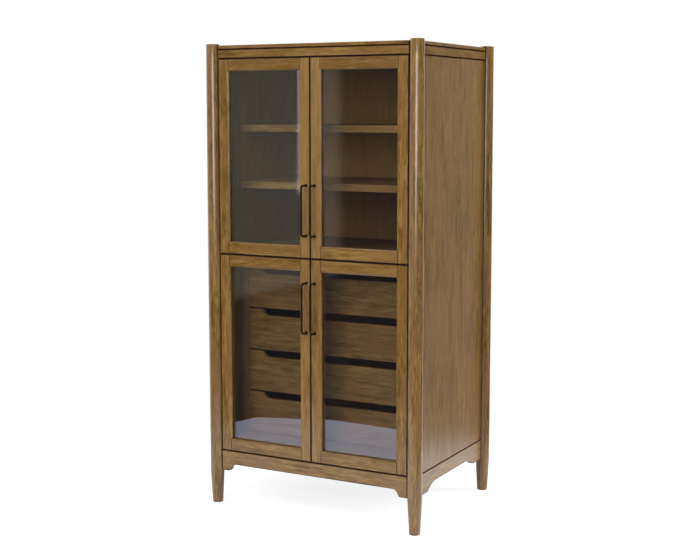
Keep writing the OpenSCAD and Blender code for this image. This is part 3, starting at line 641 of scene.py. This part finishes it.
def closed_tube(name, points, sharp=38):
    """A mesh from rings of points, ring by ring and point by point. The first and last ring close on their
    middles."""
    rings, count = points.shape[:2]
    ends = np.array([points[0].mean(0), points[-1].mean(0)])
    corners = np.concatenate([points.reshape(-1, 3), ends])
    ring, step = np.meshgrid(np.arange(rings - 1), np.arange(count), indexing="ij")
    here, there = ring * count + step, ring * count + (step + 1) % count
    walls = np.stack([here, there, there + count, here + count], -1).reshape(-1, 4)
    turn = np.arange(count)
    first = np.stack([np.full(count, rings * count), (turn + 1) % count, turn], -1)
    last = np.stack([np.full(count, rings * count + 1), turn, (turn + 1) % count], -1)
    last[:, 1:] += (rings - 1) * count
    mesh = bpy.data.meshes.new(name)
    mesh.from_pydata(corners.tolist(), [], walls.tolist() + first.tolist() + last.tolist())
    mesh.shade_smooth()
    mesh.set_sharp_from_angle(angle=radians(sharp))
    return mesh


def turned(profile, steps, way=1):
    """A profile, radius over height, turned about its axis in steps. Radius times cosine and radius times
    sine give the two places across the axis, and the height stays. A way of -1 turns it the other way
    round."""
    angle = way * np.arange(steps) * tau / steps
    radius, height = profile[:, :1], profile[:, 1:]
    return radius * np.cos(angle), radius * np.sin(angle), height + 0 * angle


def quarter(centre, radius, start, steps=5):
    """Points on a quarter circle in a profile, from the angle start on, in quarter turns."""
    angle = np.linspace(start, start + 1, steps) * pi / 2
    return np.stack([centre[0] + radius * np.cos(angle), centre[1] + radius * np.sin(angle)], -1)


def post_radius(z):
    """A leg that swells to the full post, a straight shaft, and a top that slims a little."""
    leg = POST_R - (POST_R - FOOT_R) * np.clip(1 - z / LEG_H, 0, None) ** 1.1
    return leg - (POST_R - POST_TOP_R) * (np.clip(z - SLIM_Z, 0, None) / (POST_HIGH - SLIM_Z)) ** 1.3


def turned_post(end, side):
    """A post: its profile, radius over height, turned through 96 steps about the post's axis. A round recess
    under the foot holds the glide."""
    x = POST_X if side == "right" else -POST_X
    y = -POST_Y if end == "front" else POST_Y
    edge, recess = 0.003, 0.0131
    low, high = POST_LOW + edge, POST_HIGH - edge
    heights = np.concatenate([np.linspace(low, LEG_H, 18)[1:], np.linspace(LEG_H, high, 28)[1:-1]])
    profile = np.concatenate([
        [[recess, low], [recess, POST_LOW]],
        quarter((post_radius(low) - edge, low), edge, -1),
        np.stack([post_radius(heights), heights], -1),
        quarter((post_radius(high) - edge, high), edge, 0)])
    across, deep, height = turned(profile, 96)
    name = f"post_{end}_{side}"
    mesh = closed_tube(name + "_turned", np.stack([x + across, y + deep, height], -1))
    lay_grain(mesh, name)
    add_object(name + "_turned", mesh, "post" if end == "front" else "rear_post", "cabinet", "wood", name)


def bent_pull(level, side):
    """A pull: a circle carried along a path that runs out from the door, up and back. Its radius swells to a
    round base at both ends. The lower half of the path is worked out and mirrored to the upper one."""
    name, body = f"{level}_{side}_door_pull", f"{level}_{side}_door"
    x = -PULL_X if side == "left" else PULL_X
    out, bend, rod, base = FACE_Y + 0.036, 0.012, 0.004, 0.0065
    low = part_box(name)[0].z + base
    high = low + PULL_SPACING
    foot_y = np.array([0, 0.0002, 0.0006, 0.0022, 0.0027, 0.0030, 0.0030, 0.0034, 0.0042, 0.012, 0.024])
    foot_r = np.array([base - 0.0006, base - 0.0002, base, base, base - 0.0003, base - 0.0010, rod + 0.0010,
                       rod + 0.0004, rod, rod, rod])
    turn = np.linspace(0, pi / 2, 13)[1:]
    rise = np.linspace(low + bend, high - bend, 9)[1:]

    # Rows: place along y, place along z, lean of the ring and its radius
    foot = np.stack([-FACE_Y - foot_y, low + 0 * foot_y, 0 * foot_y, foot_r])
    elbow = np.stack([-out + bend - bend * np.sin(turn), low + bend - bend * np.cos(turn), turn,
                      rod + 0 * turn])
    grip = np.stack([-out + 0 * rise, rise, pi / 2 + 0 * rise, rod + 0 * rise])
    lower = np.concatenate([foot, elbow], 1)
    upper = lower[:, ::-1][:, 1:].copy()
    upper[1], upper[2] = low + high - upper[1], pi - upper[2]
    y, z, lean, radius = np.concatenate([lower, grip, upper], 1)[:, :, None]

    angle = np.arange(28) * tau / 28
    wide, deep = radius * np.cos(angle), radius * np.sin(angle)
    points = np.stack([x + wide, y + deep * np.sin(lean), z + deep * np.cos(lean)], -1)
    mesh = closed_tube(name + "_bent", points, sharp=60)
    form = bmesh.new()
    form.from_mesh(mesh)
    bmesh.ops.recalc_face_normals(form, faces=form.faces)
    form.to_mesh(mesh)
    form.free()
    add_object(name + "_bent", mesh, "black_metal", body, "black_metal", name)
    for place, foot_z in (("low", low), ("high", high)):
        pull_screw(f"{name}_screw_{place}", x, foot_z, body)


def pull_screw(name, x, z, body):
    """The domed head of the screw that holds one foot of a pull, on the back of the door, with a round
    socket: its profile, radius over distance from the door, turned through 24 steps."""
    head_r, dome_r, dome_foot, socket_r, socket_floor = 0.0035, 0.0013, 0.0003, 0.0011, 0.0006
    dome = quarter((head_r - dome_r, dome_foot), dome_r, 0, 6)
    socket = [[dome_r, dome_foot + dome_r], [socket_r, socket_floor]]
    across, deep, off_door = turned(np.concatenate([[[head_r, 0.0]], dome, socket]), 24, way=-1)
    points = np.stack([x + across, DOOR_BACK + off_door, z + deep], -1)
    add_object(name, closed_tube(name, points, sharp=30), "steel", body, "steel")


# The cabinet

for end in ("front", "rear"):
    for side in SIDES:
        turned_post(end, side)

# Each board with the radius of its edges and its finish
for node, round_by, material in (
        ("top_board", 0.0022, "shell"), ("top_rail_front", 0.0010, "shell"),
        ("top_rail_rear", 0.0010, "shell"), ("top_rails_side", 0.0010, "shell"),
        ("apron_front", 0.0016, "apron"), ("apron_rear", 0.0016, "apron"), ("aprons_side", 0.0016, "apron"),
        ("side_panel_left", 0.0010, "panel"), ("side_panel_right", 0.0010, "panel"),
        ("back_panel", 0.0012, "back"), ("middle_deck", 0.0012, "housing"),
        ("bottom_panel", 0.0012, "inner_wood"), ("drawer_housing", 0.0012, "housing")):
    eased(node, round_by, material)

front_batten()

for node in ("shelf_upper", "shelf_lower"):
    eased(node, 0.0015, "shelf")

for number in DRAWERS:
    eased(f"drawer_{number}_front", 0.0015, "drawer")
    eased(f"drawer_{number}_box", 0.0008, "inner_wood")

for level in LEVELS:
    for side in SIDES:
        door = f"{level}_{side}_door"
        eased(door + "_stiles", 0.0010, "door")
        eased(door + "_rails", 0.0010, "door")
        eased(door + "_beads", 0.0008, "bead")
        eased(door + "_glass", 0.0005, "glass")
        bent_pull(level, side)

# The fittings that keep their CAD mesh
for node, piece in NODES.items():
    if not piece.hide_render:
        piece.data.materials.clear()
        piece.data.materials.append(MATERIALS[SLOT_OF[node]])


# Floor, light and camera

def pale_floor():
    """A sheet of pale paper. It ends in front of the cabinet and to its left, where the panes mirror its
    edge, and thins out to nothing on the other sides. What sees it directly sees it with a glow of its own,
    which keeps the cabinet's shadow light, but glossy wood close above it sees less of that glow."""
    f = finish_named("pale_floor")
    mirrored = f.node("ShaderNodeLightPath", out="Is Glossy Ray")
    close = mirrored * f.smooth(f.node("ShaderNodeLightPath", out="Ray Length"), 0.70, 0.50)
    direct = seen_directly(f) * (1 - close * 0.9)
    tint = f.mix(direct, (0.90, 0.90, 0.92), (0.45, 0.45, 0.46))
    paper = f.node("ShaderNodeBsdfDiffuse", {}, {"Color": tint})
    lift = f.node("ShaderNodeEmission", {}, {"Color": (0.98, 0.98, 1, 1), "Strength": direct * PAPER_LIFT})
    sheet = f.node("ShaderNodeAddShader", {}, {0: paper, 1: lift})
    gone = f.node("ShaderNodeBsdfTransparent")
    # Distance from the corner under the cabinet's middle, counted only to the right and to the back
    x, y, _ = where(f)
    away = ((x + abs(x)) ** 2.0 + (y + abs(y)) ** 2.0) ** 0.5 * 0.5
    fade = f.smooth(away, 1.00, 1.55)
    material = f.surface(f.node("ShaderNodeMixShader", {}, {0: fade, 1: sheet, 2: gone}))
    outline = [(-1.125, 2.0), (-1.125, -1.44), (-1.07, -1.61), (-0.95, -1.65), (-0.70, -1.74), (2.0, -1.60),
               (2.0, 2.0)]
    mesh = bpy.data.meshes.new("floor")
    mesh.from_pydata([(*corner, 0) for corner in outline], [], [range(len(outline))])
    mesh.materials.append(material)
    floor = bpy.data.objects.new("floor", mesh)
    bpy.context.scene.collection.objects.link(floor)


def studio_world():
    """A studio round the cabinet as brightness over the compass, from -X by way of -Y, +X and +Y back to -X:
    white behind, dim to the right, and nearly dark to the front left, the side that the panes mirror, but for
    a grey screen that stands there a little above the floor, with a bright strip near its edge that just
    shows in a pane. A pale wall stands further left, another one to the front right, and overhead it is white
    all round. The camera itself sees white everywhere."""
    f = Finish(bpy.context.scene.world or bpy.data.worlds.new("studio"))
    way = f.node("ShaderNodeTexCoord", out="Generated")
    x, y, z = [f.node("ShaderNodeSeparateXYZ", {}, {0: way}, out=axis) for axis in "XYZ"]
    heading = f.node("ShaderNodeMath", {"operation": "ARCTAN2"}, {0: y, 1: x}) * (360 / tau)

    def patch(comes, goes, low, height=z):
        """1 in a patch of the studio: it comes and goes over two pairs of headings and begins at low."""
        return f.smooth(heading, *comes) * f.smooth(heading, *goes) * f.smooth(height, *low)

    compass = [(-180, 1.0), (-168, 1.0), (-160, 0.15), (-128, 0.06), (-112, 0.04), (-66, 0.08), (70, 0.06),
               (77, 1.0), (180, 1.0)]
    round_about = f.node("ShaderNodeValToRGB", {"stops": [(a / 360 + 0.5, (v, v, v)) for a, v in compass]},
                         {0: heading / 360 + 0.5})
    screen_foot = (heading + 120.3) * 0.0039 - 0.132
    screen = patch((-138, -132), (-118.3, -118.9), (-0.004, 0.004), z - screen_foot)
    strip = patch((-120.47, -120.41), (-119.4, -119.6), (-0.066, -0.060))
    left_wall = patch((-168, -162), (-131, -137), (-0.16, -0.08))
    right_wall = patch((-66, -58), (-22, -32), (-0.13, -0.03))
    overhead = f.smooth(z, 0.45, 0.75)
    low_part = most(f, round_about, screen * 0.37, strip * 3.0, left_wall * 0.45, right_wall * 0.7)
    brightness = low_part * (1 - overhead) + overhead

    camera = f.node("ShaderNodeLightPath", out="Is Camera Ray")
    strength = most(f, camera, brightness * (AMBIENT + seen_directly(f) * (1 - AMBIENT)))
    tint = f.mix(screen * (1 - overhead) * (1 - camera), (1, 1, 1), (1.0, 0.92, 0.60))
    tint = f.mix(strip * (1 - camera), tint, (1.0, 0.76, 0.62))
    background = f.node("ShaderNodeBackground", {}, {"Color": tint, "Strength": strength})
    bpy.context.scene.world = f.surface(background)


def soft_box(name, place, aim, width, height, watts, for_gloss=False):
    """A rectangular lamp that faces the point aim. It brightens dull surfaces and isn't mirrored, or, for
    gloss, the other way round."""
    lamp = bpy.data.lights.new(name, "AREA")
    lamp.shape, lamp.size, lamp.size_y, lamp.energy = "RECTANGLE", width, height, watts
    stand = bpy.data.objects.new(name, lamp)
    stand.location = place
    away = stand.location - type(stand.location)(aim)
    stand.rotation_euler = away.to_track_quat("Z", "Y").to_euler()
    stand.visible_camera, stand.visible_glossy, stand.visible_diffuse = False, for_gloss, not for_gloss
    bpy.context.scene.collection.objects.link(stand)


def photo_camera():
    """The camera of the photograph, fitted to the cabinet's own edges."""
    lens = bpy.data.cameras.new("camera")
    lens.sensor_width, lens.lens, lens.shift_y = 36, 66.01, -20 / 700
    camera = bpy.data.objects.new("camera", lens)
    camera.location = (2.4196, -4.5398, 1.5678)
    camera.rotation_euler = (radians(83.423), 0, radians(28.155))
    bpy.context.scene.collection.objects.link(camera)
    bpy.context.scene.camera = camera


pale_floor()
studio_world()
soft_box("key_light", (0.35, -4.5, 2.0), (0.0, -0.33, 1.20), width=2.5, height=2.1, watts=104)
soft_box("strip_light", (1.600, -4.230, 1.62), (0.44, -0.33, 1.55), width=1.85, height=1.34, watts=52,
         for_gloss=True)
soft_box("top_light", (0.3, -3.4, 3.9), (0.0, -0.33, 0.9), width=2.0, height=1.6, watts=58)
soft_box("side_light", (3.9, 2.2, 1.9), (0.44, 0.0, 1.0), width=1.0, height=2.2, watts=178)
soft_box("rear_light", (-3.6, 3.4, 2.3), (-0.44, 0.33, 1.0), width=1.6, height=2.0, watts=60)
photo_camera()
bpy.context.scene.view_settings.view_transform = "Standard"
